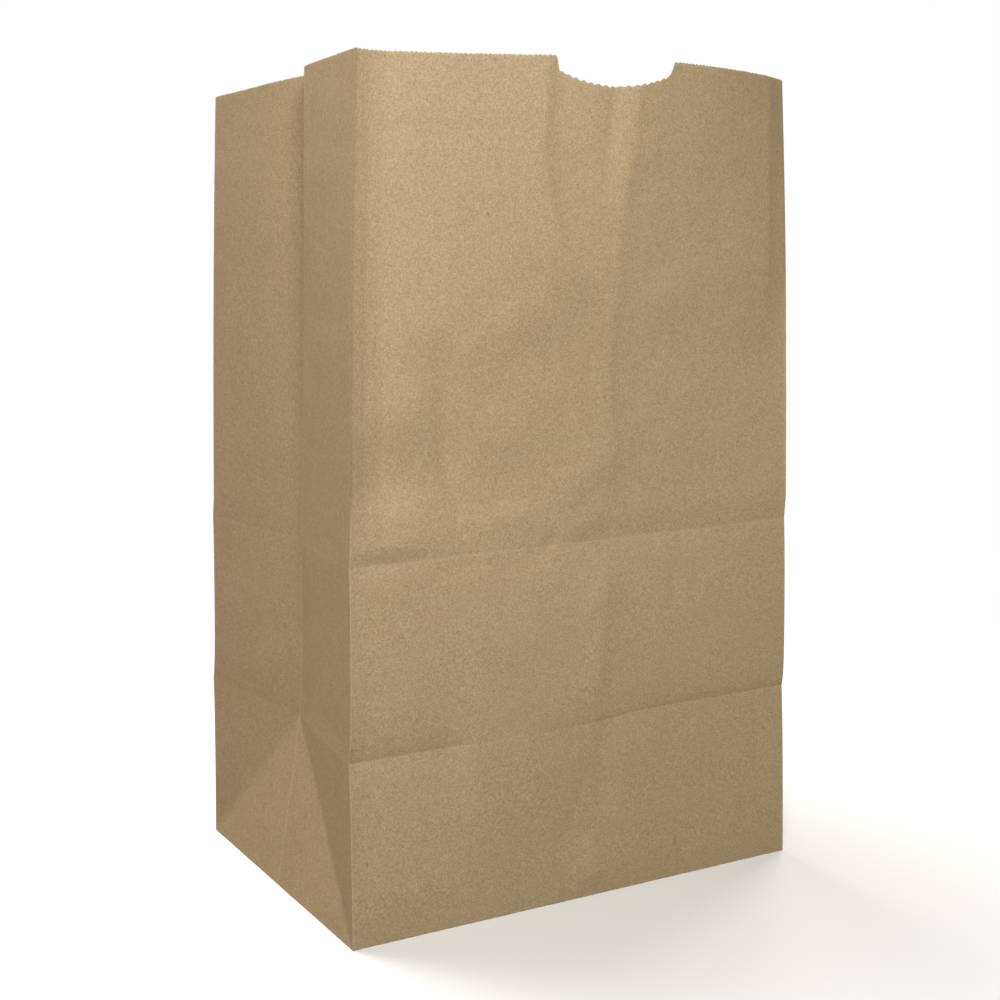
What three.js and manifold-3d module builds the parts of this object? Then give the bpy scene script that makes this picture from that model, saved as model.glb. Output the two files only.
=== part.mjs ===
// A square-bottomed gusseted bag of brown kraft paper, opened up and standing.
// Millimetres, +Z up. The origin is the middle of the base, on the face it stands on.
// +X runs along the front wall to the right, and the front wall faces -Y.

import * as THREE from 'three';
import { mergeVertices } from 'three/addons/utils/BufferGeometryUtils.js';
import Module from 'manifold-3d';

// Overall size of the opened bag
const WIDTH = 210;
const DEPTH = 151;
const HEIGHT = 340;
const PAPER = 0.12;

// The line where the base was folded up flat. It crosses the walls a little askew, and most of
// its climb is a jog just right of the middle.
const CREASE_HEIGHT = 72.6;
const CREASE_SKEW = 1.7;
const CREASE_JOG_SHARE = 0.6;
const CREASE_JOG_PLACE = 0.17;   // -1 is the left end of the bag, 1 the right end
const CREASE_JOG_REACH = 0.1;

// The mark that the folded-up base pressed into the walls
const PRESS_HEIGHT = 147.3;
const PRESS_SKEW = 1.5;

// Both lines stay as valleys in the front wall and ridges in the back wall, because the base
// was folded up against the front. They fade away above and below.
const CREASE_KINK = 1.4;
const PRESS_KINK = 0.8;
const KINK_REACH = 9;

// How far the side folds stand in from the corners, at the crease and at the rim
const FOLD_IN_AT_CREASE = 11.3;
const FOLD_IN_AT_RIM = 13.8;

// How far each half of a gusset bellies out at the rim. The front half stays flat up to a curl
// beside the side fold.
const FRONT_HALF_BELLY = 6.5;
const FRONT_HALF_PEAK = 5 / 6;   // share of the way from the corner to the side fold
const BACK_HALF_BELLY = 3.4;
const BELLY_SQUARENESS = 2.5;    // 2 is an arc, and more is flatter in the middle
const BELLY_GROWTH = 1.2;        // 1 grows evenly with height, and more starts later

// How far the wide walls bulge out at the rim
const FRONT_BULGE = 26;
const BACK_BULGE = 20;
const FRONT_BEND = 0.6;          // where the front wall bends, as a share of its width
const BEND_SHARPNESS = 0.2;      // 0 is a round bulge, 1 is a sharp bend

// The mouth stands a little to the right of the base, and a little behind it
const LEAN_RIGHT = 1.7;
const LEAN_BACK = 1.4;

// The cut edge. It comes down to the back wall's height along the back halves of the gussets.
const BACK_RIM_DROP = 4.5;
const RIM_DROP_START = 0.35;     // shares of the way from the front corner to the back corner
const RIM_DROP_END = 0.92;
const TOOTH_PITCH = 1.9;
const TOOTH_DEPTH = 0.5;

// The thumb notch in the middle of the front wall
const NOTCH_WIDTH = 53;
const NOTCH_DEPTH = 10.5;
const NOTCH_FLANK_DEPTH = 4.5;
const NOTCH_FLANK_RUN = 2;
const NOTCH_TOOTH_PITCH = 3;
const NOTCH_TOOTH_DEPTH = 0.8;

// The lengthwise seam, glued with an overlap down the back
const SEAM_OVERLAP = 22;
const SEAM_OFFSET = 4;
const SEAM_RAMP = 1.5;

// The base: end folds on the floor of the bag, then the back flap, and the front flap over it
const FLAP_OVERLAP = 24;
const FLAP_LAYERS = 2;
const FLOOR_LAYERS = 3;
const END_FOLD_LAYERS = 4;
const END_FOLD_INSET = 0.8 * PAPER;

// How finely the sheet is divided, and the small steps that directions are measured over
const WALL_COLUMNS = 20;
const GUSSET_COLUMNS = 6;
const ROWS_TO_PRESS = 6;
const ROWS_TO_RIM = 9;
const RIM_BAND = 3;              // height of the last row below the bottoms of the teeth
const CROWDED = 0.3;             // nearest that a column stands to an extra one, in columns
const SHARE_STEP = 1e-3;
const HEIGHT_STEP = 0.1;
const SLOPE_STEPS = 400;
const SHARPEST_MITRE = 0.5;

const KRAFT_COLOR = 0xb49d7d;
const KRAFT_ROUGHNESS = 0.9;
const LEFT = -1;
const RIGHT = 1;
const FRONT = -1;
const BACK = 1;

const { clamp, lerp, smoothstep } = THREE.MathUtils;

// A height that climbs evenly from the left end of the bag to the right end
function skewed(height, skew, across) {
  return height + skew * across;
}

function creaseAt(across) {
  const jog = Math.tanh((across - CREASE_JOG_PLACE) / CREASE_JOG_REACH);
  return skewed(CREASE_HEIGHT, CREASE_SKEW, lerp(across, jog, CREASE_JOG_SHARE));
}

function pressAt(across) {
  return skewed(PRESS_HEIGHT, PRESS_SKEW, across);
}

// 0 at the crease and below, 1 at the rim
function openingShare(height, across) {
  const crease = creaseAt(across);
  return clamp((height - crease) / (HEIGHT - crease), 0, 1);
}

// 0 at the press mark and below, 1 at the rim
function bulgeShare(height, across) {
  const press = pressAt(across);
  return clamp((height - press) / (HEIGHT - press), 0, 1);
}

// How far a height is set back by the two lines
function kink(height, across) {
  const fade = (line) => Math.exp(-Math.abs(height - line) / KINK_REACH);
  return CREASE_KINK * fade(creaseAt(across)) + PRESS_KINK * fade(pressAt(across));
}

// Plan shapes, from 0 at one edge of a panel to 0 at the other with 1 at the fullest place
function frontBulgeShape(share) {
  const skewPower = Math.log(0.5) / Math.log(FRONT_BEND);
  const round = Math.sin(Math.PI * share ** skewPower);
  const bent = share < FRONT_BEND ? share / FRONT_BEND : (1 - share) / (1 - FRONT_BEND);
  return lerp(round, bent, BEND_SHARPNESS);
}

function backBulgeShape(share) {
  return Math.sin(Math.PI * share);
}

function frontHalfShape(share) {
  return share < FRONT_HALF_PEAK ? share / FRONT_HALF_PEAK : (1 - share) / (1 - FRONT_HALF_PEAK);
}

function backHalfShape(share) {
  return 1 - Math.abs(2 * share - 1) ** BELLY_SQUARENESS;
}

// Mean square slope of a plan shape, which says how much of the paper's width a bulge takes up
function slopeFactor(shape) {
  let sum = 0;
  for (let i = 0; i < SLOPE_STEPS; i += 1) {
    const slope = (shape((i + 1) / SLOPE_STEPS) - shape(i / SLOPE_STEPS)) * SLOPE_STEPS;
    sum += slope ** 2;
  }
  return sum / SLOPE_STEPS;
}

const FRONT_FACTOR = slopeFactor(frontBulgeShape);
const BACK_FACTOR = slopeFactor(backBulgeShape);
const FRONT_HALF_FACTOR = slopeFactor(frontHalfShape);
const BACK_HALF_FACTOR = slopeFactor(backHalfShape);

// Straight distance between the edges of a panel that bulges by some depth
function chord(paperWidth, depth, factor) {
  return paperWidth - (depth * depth * factor) / (2 * paperWidth);
}

function bulgeDepth(wall, height, across) {
  const full = wall === FRONT ? FRONT_BULGE : BACK_BULGE;
  return full * bulgeShare(height, across);
}

function bellyDepth(wall, height, across) {
  const full = wall === FRONT ? FRONT_HALF_BELLY : BACK_HALF_BELLY;
  return full * openingShare(height, across) ** BELLY_GROWTH;
}

function foldIn(height, side) {
  const share = Math.min(height / creaseAt(side), 1);
  return share * lerp(FOLD_IN_AT_CREASE, FOLD_IN_AT_RIM, openingShare(height, side));
}

function lean(height) {
  return new THREE.Vector3(LEAN_RIGHT, LEAN_BACK, 0).multiplyScalar(height / HEIGHT);
}

// One of the four corner edges of the bag
function cornerPoint(side, wall, height) {
  const crease = creaseAt(side);
  const depthOfBulge = bulgeDepth(wall, height, side);
  const wallFactor = wall === FRONT ? FRONT_FACTOR : BACK_FACTOR;
  const gussetFactor = wall === FRONT ? FRONT_HALF_FACTOR : BACK_HALF_FACTOR;
  const halfWidth = chord(WIDTH, depthOfBulge, wallFactor) / 2;
  const halfGusset = chord(DEPTH / 2, bellyDepth(wall, height, side), gussetFactor);
  const inward = foldIn(Math.max(height, crease), side);
  const opened = Math.sqrt(halfGusset ** 2 - inward ** 2);
  const halfDepth = lerp(DEPTH / 2, opened, Math.min(height / crease, 1));
  return new THREE.Vector3(side * halfWidth, wall * halfDepth, height).add(lean(height));
}

// The fold down the middle of a gusset. Below the crease it is the middle of the base triangle.
function foldPoint(side, height) {
  const front = cornerPoint(side, FRONT, height);
  const back = cornerPoint(side, BACK, height);
  const crease = creaseAt(side);
  const slant = crease - Math.sqrt(crease ** 2 - FOLD_IN_AT_CREASE ** 2);
  const settle = Math.min(height / crease, 1) * slant * (1 - openingShare(height, side));
  const x = (front.x + back.x) / 2 - side * foldIn(height, side);
  return new THREE.Vector3(x, lean(height).y, height - settle);
}

// A point of the front or back wall, by its share of the way from left to right
function wallPoint(wall, share, height) {
  const across = 2 * share - 1;
  const shape = wall === FRONT ? frontBulgeShape : backBulgeShape;
  const left = cornerPoint(LEFT, wall, height);
  const right = cornerPoint(RIGHT, wall, height);
  const point = left.lerp(right, share);
  point.y += wall * bulgeDepth(wall, height, across) * shape(share) + kink(height, across);
  return point;
}

// A point of half a gusset, by its share of the way from the corner to the side fold.
// Below the crease it lies on one of the two flat triangles beside the diagonal crease.
function gussetPoint(side, wall, share, height) {
  const crease = creaseAt(side);
  const climb = height / crease;
  if (climb >= 1) {
    const shape = wall === FRONT ? frontHalfShape : backHalfShape;
    const point = cornerPoint(side, wall, height).lerp(foldPoint(side, height), share);
    point.x += side * bellyDepth(wall, height, side) * shape(share);
    point.y += kink(height, side);
    return point;
  }
  const foot = cornerPoint(side, wall, 0);
  const apex = foldPoint(side, crease).sub(foot);
  const onBaseTriangle = share >= climb;
  const third = onBaseTriangle ? foldPoint(side, 0) : cornerPoint(side, wall, crease);
  third.sub(foot);
  const alongApex = onBaseTriangle ? climb : share;
  foot.addScaledVector(apex, alongApex);
  foot.addScaledVector(third, Math.abs(share - climb));
  foot.y += kink(height, side);
  return foot;
}

// How far the cut edge is lowered by the thumb notch, by the share of the way along the front wall
function notchDrop(share) {
  const place = (share - 0.5) * WIDTH;
  const half = NOTCH_WIDTH / 2;
  const fromEnd = half - Math.abs(place);
  if (fromEnd <= 0) {
    return 0;
  }
  const flank = NOTCH_FLANK_DEPTH * Math.min(fromEnd / NOTCH_FLANK_RUN, 1);
  return flank + (NOTCH_DEPTH - NOTCH_FLANK_DEPTH) * (1 - (place / half) ** 2);
}

// Even stations along a panel, with extra ones where a form needs them. An even station that
// would crowd an extra one is left out.
function stations(count, extras = []) {
  const crowded = CROWDED / count;
  const even = Array.from({ length: count }, (unused, i) => ({ share: i / count, lift: 0 }));
  const kept = even.filter(({ share }) => (
    extras.every((extra) => Math.abs(extra.share - share) > crowded)
  ));
  return [...kept, ...extras].sort((a, b) => a.share - b.share);
}

// The ends of the thumb notch and the feet of its flanks
function notchStations() {
  const half = NOTCH_WIDTH / 2;
  return [-half, NOTCH_FLANK_RUN - half, half - NOTCH_FLANK_RUN, half]
    .map((place) => ({ share: 0.5 + place / WIDTH, lift: 0 }));
}

// The glued lap, on the back wall's way from right to left. It starts with a ramp, where the
// paper climbs over the edge beneath it, and ends at its own cut edge.
function lapStations() {
  const middle = 0.5 + SEAM_OFFSET / WIDTH;
  const start = middle - SEAM_OVERLAP / 2 / WIDTH;
  const end = middle + SEAM_OVERLAP / 2 / WIDTH;
  return [
    { share: start - SEAM_RAMP / WIDTH, lift: 0 },
    { share: start, lift: PAPER },
    { share: middle, lift: PAPER },
    { share: end, lift: PAPER },
    { share: end + PAPER / WIDTH, lift: 0 },
  ];
}

// Half a gusset, running from its corner to the side fold or from the fold to the corner
function gussetPanel(side, wall, fromCorner) {
  const fromItsCorner = (share) => (fromCorner ? share : 1 - share);
  return {
    paper: DEPTH / 2,
    creaseClimbs: fromCorner,
    stations: stations(GUSSET_COLUMNS),
    across: () => side,
    rimDrop: (share) => {
      const near = fromItsCorner(share) / 2;
      const place = wall === FRONT ? near : 1 - near;
      return BACK_RIM_DROP * smoothstep(place, RIM_DROP_START, RIM_DROP_END);
    },
    inNotch: () => false,
    point: (share, height) => gussetPoint(side, wall, fromItsCorner(share), height),
  };
}

function frontPanel() {
  return {
    paper: WIDTH,
    creaseClimbs: true,
    stations: stations(WALL_COLUMNS, notchStations()),
    across: (share) => 2 * share - 1,
    rimDrop: notchDrop,
    inNotch: (share) => notchDrop(share) > 0,
    point: (share, height) => wallPoint(FRONT, share, height),
  };
}

function backPanel() {
  return {
    paper: WIDTH,
    creaseClimbs: true,
    stations: stations(WALL_COLUMNS, lapStations()),
    across: (share) => 1 - 2 * share,
    rimDrop: () => BACK_RIM_DROP,
    inNotch: () => false,
    point: (share, height) => wallPoint(BACK, 1 - share, height),
  };
}

// The six panels in order round the bag, anticlockwise from above, from the front left corner
const PANELS = [
  frontPanel(),
  gussetPanel(RIGHT, FRONT, true),
  gussetPanel(RIGHT, BACK, false),
  backPanel(),
  gussetPanel(LEFT, BACK, true),
  gussetPanel(LEFT, FRONT, false),
];

// Direction out of the bag at a point of one panel
function panelNormal(panel, share, height) {
  const from = panel.point(Math.max(share - SHARE_STEP, 0), height);
  const to = panel.point(Math.min(share + SHARE_STEP, 1), height);
  const up = panel.point(share, height + HEIGHT_STEP).sub(panel.point(share, height));
  return to.sub(from).cross(up).normalize();
}

// Outward offset that keeps the paper's thickness, also on the edge between two panels
function outward(panelIndex, share, height) {
  const normal = panelNormal(PANELS[panelIndex], share, height);
  if (share > 0) {
    return normal;
  }
  const previous = PANELS[(panelIndex + PANELS.length - 1) % PANELS.length];
  const mitre = panelNormal(previous, 1, height).add(normal).normalize();
  return mitre.divideScalar(Math.max(mitre.dot(normal), SHARPEST_MITRE));
}

// Both faces of the sheet at one place
function sheetPoints(panelIndex, share, height, lift) {
  const point = PANELS[panelIndex].point(share, height);
  const normal = outward(panelIndex, share, height);
  return {
    outer: point.clone().addScaledVector(normal, lift),
    inner: point.addScaledVector(normal, -PAPER),
  };
}

// Heights of the rows of the grid, from the base to just under the cut edge
function rowHeights(panel, share) {
  const across = panel.across(share);
  const crease = creaseAt(across);
  const press = pressAt(across);
  const top = HEIGHT - panel.rimDrop(share) - NOTCH_TOOTH_DEPTH - RIM_BAND;
  const rows = [];
  for (let i = 0; i < GUSSET_COLUMNS; i += 1) {
    rows.push((crease * i) / GUSSET_COLUMNS);
  }
  for (let i = 0; i < ROWS_TO_PRESS; i += 1) {
    rows.push(lerp(crease, press, i / ROWS_TO_PRESS));
  }
  for (let i = 0; i <= ROWS_TO_RIM; i += 1) {
    rows.push(lerp(press, top, i / ROWS_TO_RIM));
  }
  return rows;
}

// One column of the grid for each station of each panel
function makeColumns() {
  return PANELS.flatMap((panel, panelIndex) => (
    panel.stations.map(({ share, lift }) => {
      const points = rowHeights(panel, share)
        .map((height) => sheetPoints(panelIndex, share, height, lift));
      points[0].outer.z = FLAP_LAYERS * PAPER;
      points[0].inner.z = FLOOR_LAYERS * PAPER;
      return { panel, panelIndex, share, lift, points };
    })
  ));
}

// The saw-toothed cut edge between a column and the next, from the first column's own tooth root
// up to, but not including, the next column's
function teethBetween(column, nextShare) {
  const { panel, panelIndex, share, lift } = column;
  const run = (nextShare - share) * panel.paper;
  const drop = panel.rimDrop(nextShare) - panel.rimDrop(share);
  const notched = panel.inNotch((share + nextShare) / 2);
  const pitch = notched ? NOTCH_TOOTH_PITCH : TOOTH_PITCH;
  const depth = notched ? NOTCH_TOOTH_DEPTH : TOOTH_DEPTH;
  const teeth = Math.round(Math.hypot(run, drop) / pitch);
  const halves = Math.max(2 * teeth, 1);
  return Array.from({ length: halves }, (unused, i) => {
    const place = lerp(share, nextShare, i / halves);
    const root = i % 2 === 0 ? depth : 0;
    const height = HEIGHT - panel.rimDrop(place) - root;
    return sheetPoints(panelIndex, place, height, lift);
  });
}

// The closed surface of the sheet: outer face, inner face, cut edge, underside and floor
function makeSheet() {
  const columns = makeColumns();
  const rowCount = columns[0].points.length;
  const vertices = [];
  const addPoint = (point) => vertices.push(point) - 1;
  const grid = columns.map((column) => column.points.map(({ outer, inner }) => ({
    outer: addPoint(outer),
    inner: addPoint(inner),
  })));
  const rim = columns.map((column, i) => {
    const next = columns[(i + 1) % columns.length];
    const nextShare = next.share > column.share ? next.share : 1;
    return teethBetween(column, nextShare).map(({ outer, inner }) => ({
      outer: addPoint(outer),
      inner: addPoint(inner),
    }));
  });
  const triangles = [];
  const addBoth = (a, b, c) => {
    triangles.push(a.outer, b.outer, c.outer);
    triangles.push(a.inner, c.inner, b.inner);
  };
  const addCell = (a, b, c, d, climbs) => {
    if (climbs) {
      addBoth(a, b, c);
      addBoth(a, c, d);
    } else {
      addBoth(a, b, d);
      addBoth(b, c, d);
    }
  };
  const underside = addPoint(new THREE.Vector3(0, 0, FLAP_LAYERS * PAPER));
  const floor = addPoint(new THREE.Vector3(0, 0, FLOOR_LAYERS * PAPER));
  columns.forEach((column, i) => {
    const next = (i + 1) % columns.length;
    const here = grid[i];
    const there = grid[next];
    for (let row = 0; row + 1 < rowCount; row += 1) {
      addCell(here[row], there[row], there[row + 1], here[row + 1], column.panel.creaseClimbs);
    }
    triangles.push(there[0].outer, here[0].outer, underside);
    triangles.push(here[0].inner, there[0].inner, floor);

    // The teeth fan out from the two ends of the last row's side
    const left = here[rowCount - 1];
    const right = there[rowCount - 1];
    const edge = [...rim[i], rim[next][0]];
    const middle = Math.floor((edge.length - 1) / 2);
    addBoth(left, right, edge[middle]);
    for (let k = 0; k + 1 < edge.length; k += 1) {
      addBoth(k < middle ? left : right, edge[k + 1], edge[k]);
      triangles.push(edge[k].outer, edge[k + 1].outer, edge[k + 1].inner);
      triangles.push(edge[k].outer, edge[k + 1].inner, edge[k].inner);
    }
  });
  const geometry = new THREE.BufferGeometry().setFromPoints(vertices);
  geometry.setIndex(triangles);
  return geometry;
}

// A flap of the folded base. Its ends run in at 45 degrees from the corners, where the paper
// turns under, and it reaches past the middle of the base.
function makeFlap(wall, level) {
  const foot = wall * (DEPTH / 2 - PAPER);
  const reach = DEPTH / 2 + FLAP_OVERLAP / 2;
  const end = wall * (DEPTH / 2 - reach);
  const wide = WIDTH / 2 - PAPER;
  const narrow = WIDTH / 2 - reach;
  const outline = new THREE.Shape([
    new THREE.Vector2(-wide, foot),
    new THREE.Vector2(wide, foot),
    new THREE.Vector2(narrow, end),
    new THREE.Vector2(-narrow, end),
  ]);
  const top = (FLAP_LAYERS + 0.5) * PAPER;
  const flap = new THREE.ExtrudeGeometry(outline, { depth: top - level, bevelEnabled: false });
  return flap.translate(0, 0, level);
}

// The paper of a gusset where it turns in over the floor of the bag, up to its cut edge
function makeEndFold(side) {
  const run = DEPTH / 2 + FLAP_OVERLAP / 2 - END_FOLD_INSET;
  const bottom = (FLOOR_LAYERS - 0.5) * PAPER;
  const top = END_FOLD_LAYERS * PAPER;
  const fold = new THREE.BoxGeometry(run, DEPTH - 2 * END_FOLD_INSET, top - bottom);
  return fold.translate(side * (WIDTH / 2 - END_FOLD_INSET - run / 2), 0, (top + bottom) / 2);
}

const wasm = await Module();
wasm.setup();

function toSolid(geometry) {
  const plain = geometry.clone();
  plain.deleteAttribute('normal');
  plain.deleteAttribute('uv');
  const merged = mergeVertices(plain, 1e-4);
  return new wasm.Manifold(new wasm.Mesh({
    numProp: 3,
    vertProperties: merged.getAttribute('position').array,
    triVerts: new Uint32Array(merged.getIndex().array),
  }));
}

function toGeometry(solid) {
  const { vertProperties, triVerts } = solid.getMesh();
  const geometry = new THREE.BufferGeometry();
  geometry.setAttribute('position', new THREE.BufferAttribute(vertProperties, 3));
  geometry.setIndex(new THREE.BufferAttribute(triVerts, 1));
  geometry.computeVertexNormals();
  return geometry;
}

const sheet = toSolid(makeSheet())
  .add(toSolid(makeFlap(FRONT, 0)))
  .add(toSolid(makeFlap(BACK, PAPER)))
  .add(toSolid(makeEndFold(LEFT)))
  .add(toSolid(makeEndFold(RIGHT)));

const kraft = new THREE.MeshStandardMaterial({
  color: KRAFT_COLOR,
  roughness: KRAFT_ROUGHNESS,
  metalness: 0,
});
const paperBag = new THREE.Mesh(toGeometry(sheet), kraft);
paperBag.name = 'paper_bag';

const bag = new THREE.Group();
bag.add(paperBag);

export default bag;
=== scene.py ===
"""A square-bottomed gusseted bag of brown kraft paper, opened up and standing on a pale floor."""

import math
from dataclasses import dataclass

import bpy
import numpy as np
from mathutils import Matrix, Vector


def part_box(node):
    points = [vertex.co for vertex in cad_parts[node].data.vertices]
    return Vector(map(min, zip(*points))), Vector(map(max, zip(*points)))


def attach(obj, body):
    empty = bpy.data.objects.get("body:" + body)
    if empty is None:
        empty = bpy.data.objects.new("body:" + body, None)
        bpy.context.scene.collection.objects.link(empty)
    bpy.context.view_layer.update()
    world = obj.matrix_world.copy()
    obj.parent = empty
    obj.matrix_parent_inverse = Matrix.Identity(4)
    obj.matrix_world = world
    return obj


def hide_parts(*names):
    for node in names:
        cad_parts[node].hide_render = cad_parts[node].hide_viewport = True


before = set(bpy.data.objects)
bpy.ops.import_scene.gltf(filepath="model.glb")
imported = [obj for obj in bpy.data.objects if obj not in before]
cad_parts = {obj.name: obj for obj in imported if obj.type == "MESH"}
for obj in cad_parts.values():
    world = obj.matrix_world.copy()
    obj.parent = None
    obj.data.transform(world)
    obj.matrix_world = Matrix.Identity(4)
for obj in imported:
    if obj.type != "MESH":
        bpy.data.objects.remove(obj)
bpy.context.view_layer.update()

MM = 0.001

# Sizes of the bag, in millimetres, as in the frame

box_low, box_high = (np.array(corner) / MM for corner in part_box("paper_bag"))
WIDTH = -2 * box_low[0]
HEIGHT = box_high[2]
DEPTH = 151.0
PAPER = 0.12

# The base crease and the press mark: height in the middle, rise towards the right, the crease's
# jog beside the middle, and how far each sets the wall back
CREASE_HEIGHT = 72.6
CREASE_SKEW = 1.7
CREASE_JOG_SHARE = 0.6
CREASE_JOG_PLACE = 0.17
CREASE_JOG_REACH = 0.1
PRESS_HEIGHT = 147.3
PRESS_SKEW = 1.5
CREASE_KINK = 1.4
PRESS_KINK = 1.1

# The base crease is faint in the middle and a thin line on the right. Each pair is a row of
# places across the bag, from -1 to 1, and a row of values there. The reach is that above it.
CREASE_STRENGTH = ((-1, -0.6, -0.48, -0.3, -0.1, 0.1, 1), (1.6, 1.6, 0.2, 0.15, 0.35, 0.8, 1))
CREASE_REACH = ((-1, -0.6, -0.4, 0, 1), (9, 9, 5, 4, 5))
CREASE_FADE = 24.0

# The press mark has a flat strip above it, and fades below it
PRESS_STRIP = 10.0
PRESS_FADE = 18.0

# How far the sides fold in, how the gussets' halves and the wide walls swell, and how all leans
FOLD_IN_AT_CREASE = 11.3
FOLD_IN_AT_RIM = 13.8
FRONT_HALF_BELLY = 6.5
FRONT_HALF_PEAK = 5 / 6
CURL_SHARPNESS = 6
BACK_HALF_BELLY = 3.4
BELLY_SQUARENESS = 2.5
BELLY_DIP = 0.6
BELLY_DIP_REACH = 0.1
BELLY_GROWTH = 1.2
BULGE_GROWTH_LEFT = 1.7
BULGE_GROWTH_RIGHT = 1.6
FRONT_BULGE = 26.0
BACK_BULGE = 20.0
FRONT_BEND = 0.6
BEND_SHARPNESS = 0.2
LEAN_RIGHT = 1.7
LEAN_BACK = 1.4

# The cut edge, which comes down to the back wall's height along the gussets
BACK_RIM_DROP = 4.5
RIM_DROP_START = 0.35
RIM_DROP_END = 0.92
TOOTH_PITCH = 1.9
TOOTH_DEPTH = 0.5
TOOTH_TIP_UNEVENNESS = 0.15
TOOTH_PITCH_RANGE = (0.8, 1.2)
TOOTH_DEPTH_RANGE = (0.7, 1.2)
FLAP_TOOTH_DEPTH_RANGE = (0.7, 1.0)
NOTCH_WIDTH = 53.0
NOTCH_DEPTH = 10.5
NOTCH_FLANK_DEPTH = 4.5
NOTCH_FLANK_RUN = 2.0
NOTCH_TOOTH_PITCH = 3.0
NOTCH_TOOTH_DEPTH = 0.8

# The lengthwise seam, the flaps of the base and the levels of their layers
SEAM_OVERLAP = 22.0
SEAM_OFFSET = 4.0
SEAM_RAMP = 1.5
FLAP_OVERLAP = 24.0
UNDERSIDE = 2 * PAPER
FLOOR_LEVEL = 3 * PAPER
INSIDE_FLOOR_PAPER = FLOOR_LEVEL - PAPER / 2
END_FOLD_LEVEL = 4 * PAPER

# How the upright folds are rounded, and the angle from which an edge is drawn sharp
FOLD_RADIUS = 0.5
FOLD_ROUNDING = 0.17
SHARPEST_MITRE = 0.5
SHARP_ANGLE = math.radians(35)

# How much the folds, the lines and the cut edge are worn and paled, from 0 to 1, and how far off it
# shows.
# On the folds, the base crease and the press mark the paler colour is partly wear and partly a
# painted highlight where the edges catch the light; on the cut edge it is wear.
FOLD_WEAR_AND_HIGHLIGHT = 0.7
CREASE_WEAR_AND_HIGHLIGHT = 0.1
PRESS_WEAR_AND_HIGHLIGHT = 0.25
RIM_WEAR = 0.6
WEAR_AND_HIGHLIGHT_REACH = 0.5

# Unevenness of the paper: how high it stands, and its wavelength. It is held at the folds and,
# but for the cockle, at the foot, each over a reach. Handling creases come closest to the folds.
SWELL = (0.12, 75)
FINER_SWELL = (0.05, 27)
COCKLE = (0.03, 11)
HELD_AT_FOLDS = 9
HELD_AT_FOOT = 20
CREASES_HELD_AT_FOLDS = 0.9

# Spacing of the mesh: finest beside folds and creases, coarsest in the open
FINEST = 0.14
FINEST_ROW = 0.35
COARSEST_FRONT = 1.9
COARSEST_BACK = 4.2
COARSEST_GUSSET = 3.6
COARSEST_ROW = 2.6
SPREAD = 1.7
RIM_BAND = 1.6
BESIDE_SEAM = 1.0
LEAST_GAP = 0.5
SLOPE_SAMPLES = 401
LEAST_SHARE = 1e-6

# Seeds of what is random
SWELL_SEED, FINER_SWELL_SEED, COCKLE_SEED = 3, 4, 5
FLAP_EDGE_SEED, END_FOLD_EDGE_SEED, FIRST_RIM_SEED = 9, 11, 20

LEFT, RIGHT = -1, 1
FRONT, BACK = -1, 1


@dataclass(frozen=True)
class Panel:
    """One width of the sheet between two upright folds. A wide wall has side 0."""

    wall: int
    side: int = 0
    from_corner: bool = True

    @property
    def paper(self):
        return DEPTH / 2 if self.side else WIDTH


# In order round the bag, anticlockwise from above, from the front left corner
PANELS = [
    Panel(FRONT),
    Panel(FRONT, RIGHT, True),
    Panel(BACK, RIGHT, False),
    Panel(BACK),
    Panel(BACK, LEFT, True),
    Panel(FRONT, LEFT, False),
]
STARTS = np.cumsum([0] + [panel.paper for panel in PANELS])
GIRTH = STARTS[-1]


@dataclass(frozen=True)
class Crease:
    """A crease that handling left in the paper, as a path in millimetres over the front wall.

    The height is how far it stands out of the wall, or in where it is negative. The two reaches
    are how far it spreads to the left of its path and to the right. It fades over the taper at
    both ends. A round crease has no sharp line.
    """

    path: tuple
    height: float
    reach: tuple
    taper: float = 12.0
    rounded: bool = False


@dataclass(frozen=True)
class Patch:
    """A place of the front wall that leans out at its top by some slope, or in where negative."""

    centre: tuple
    size: tuple
    slope: float


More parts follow.
